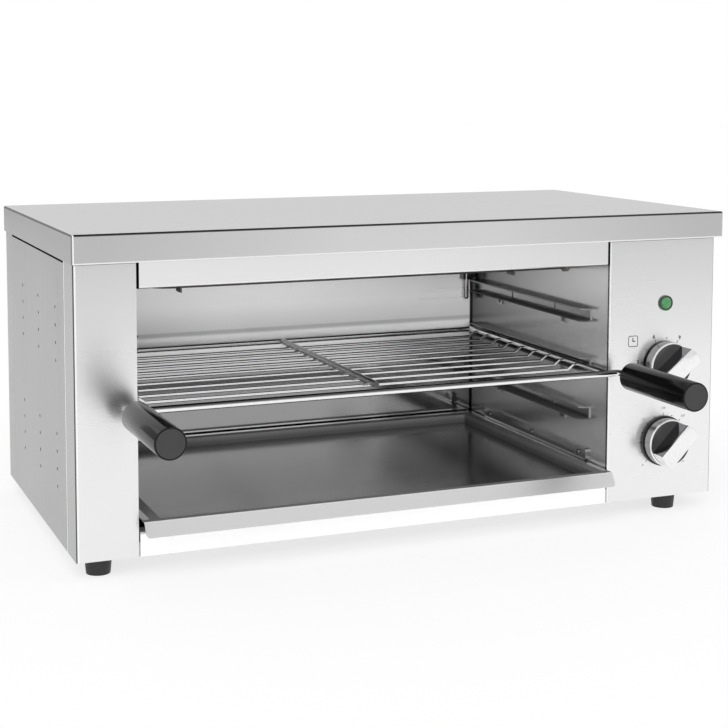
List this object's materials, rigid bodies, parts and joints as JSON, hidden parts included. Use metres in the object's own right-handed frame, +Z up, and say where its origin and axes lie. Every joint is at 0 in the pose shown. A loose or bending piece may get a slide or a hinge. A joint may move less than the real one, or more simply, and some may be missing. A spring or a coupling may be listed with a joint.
{
  "type": "cheese melter",
  "caption": "Counter-top salamander grill with an open-fronted cavity, pull-out wire rack with two handles, crumb tray, timer and thermostat knobs.",
  "frame": {"origin": "middle of the whole object's outline on the bench, under the feet", "axes": "+X to the right seen from the front, +Y to the back, +Z up; the rack's handles point to -Y"},
  "size_m": [0.61, 0.439, 0.28],
  "materials": {
    "steel_cover": "fine brushed stainless sheet",
    "steel_front": "fine brushed stainless sheet, grain upright or across by panel",
    "steel_sides": "fine brushed stainless sheet",
    "steel_cavity": "bright rolled sheet, slightly heat-toned",
    "floor_sheet": "bright rolled sheet",
    "rail_steel": "bent stainless strip",
    "fastener_steel": "bright plated",
    "element_sheath": "heat-darkened alloy sheath",
    "bracket_steel": "plain strip",
    "ceramic": "glazed ceramic",
    "sensor": "nickel-plated tube",
    "rack_chrome": "bright chrome-plated wire",
    "handle_black": "gloss phenolic moulding",
    "tray_steel": "bright rolled sheet",
    "knob_silver": "satin silver lacquer over plastic",
    "shaft_steel": "turned steel",
    "mechanism": "moulded switch body",
    "ring_black": "black moulding",
    "lamp_green": "translucent green lens",
    "lamp_body": "dark moulded rim and barrel",
    "gland_black": "black nylon",
    "foot_rubber": "black rubber"
  },
  "bodies": {
    "casing": {"top_cover": "steel_cover", "base_pan": "steel_sides", "left_side_panel": "steel_sides", "right_side_panel": "steel_sides", "back_panel": "steel_sides", "left_pillar": "steel_front", "control_panel": "steel_front", "hood_strip": "steel_front", "lower_trim": "steel_front", "cavity_back": "steel_cavity", "cavity_left_wall": "steel_cavity", "cavity_right_wall": "steel_cavity", "cavity_ceiling": "steel_cavity", "cavity_floor": "floor_sheet", "rail_left_upper": "rail_steel", "rail_left_middle": "rail_steel", "rail_left_lower": "rail_steel", "rail_right_upper": "rail_steel", "rail_right_middle": "rail_steel", "rail_right_lower": "rail_steel", "rivets": "fastener_steel", "tray_guide_left": "rail_steel", "tray_guide_right": "rail_steel", "tray_runner_left": "rail_steel", "tray_runner_right": "rail_steel", "guide_screws": "fastener_steel", "element_front": "element_sheath", "element_rear": "element_sheath", "element_hangers": "bracket_steel", "element_bushes": "ceramic", "sensor_bulb": "sensor", "sensor_clip": "bracket_steel", "timer_body": "mechanism", "thermostat_body": "mechanism", "thermostat_ring": "ring_black", "pilot_lens": "lamp_green", "pilot_holder": "lamp_body", "terminal_block": "ceramic", "cable_gland": "gland_black", "foot_front_left": "foot_rubber", "foot_front_right": "foot_rubber", "foot_back_left": "foot_rubber", "foot_back_right": "foot_rubber", "foot_bolts": "fastener_steel", "casing_screws": "fastener_steel", "control_screws": "fastener_steel"},
    "rack": {"rack_side_rod_left": "rack_chrome", "rack_side_rod_right": "rack_chrome", "rack_front_rod": "rack_chrome", "rack_back_rod": "rack_chrome", "rack_centre_rod": "rack_chrome", "rack_wires": "rack_chrome", "left_handle": "handle_black", "right_handle": "handle_black"},
    "tray": {"crumb_tray": "tray_steel"},
    "timer": {"timer_knob": "knob_silver", "timer_shaft": "shaft_steel"},
    "thermostat": {"thermostat_knob": "knob_silver", "thermostat_shaft": "shaft_steel"}
  },
  "joints": [
    {"name": "rack_slide", "type": "slide", "parent": "casing", "child": "rack", "axis": [0, -1, 0], "range_m": [0, 0.27]},
    {"name": "tray_slide", "type": "slide", "parent": "casing", "child": "tray", "axis": [0, -1, 0], "range_m": [0, 0.285]},
    {"name": "timer_turn", "type": "hinge", "parent": "casing", "child": "timer", "pos_m": [0.24655, -0.0975, 0.1395], "axis": [0, 1, 0], "range_deg": [0, 270]},
    {"name": "thermostat_turn", "type": "hinge", "parent": "casing", "child": "thermostat", "pos_m": [0.24655, -0.0975, 0.068], "axis": [0, 1, 0], "range_deg": [0, 270]}
  ]
}
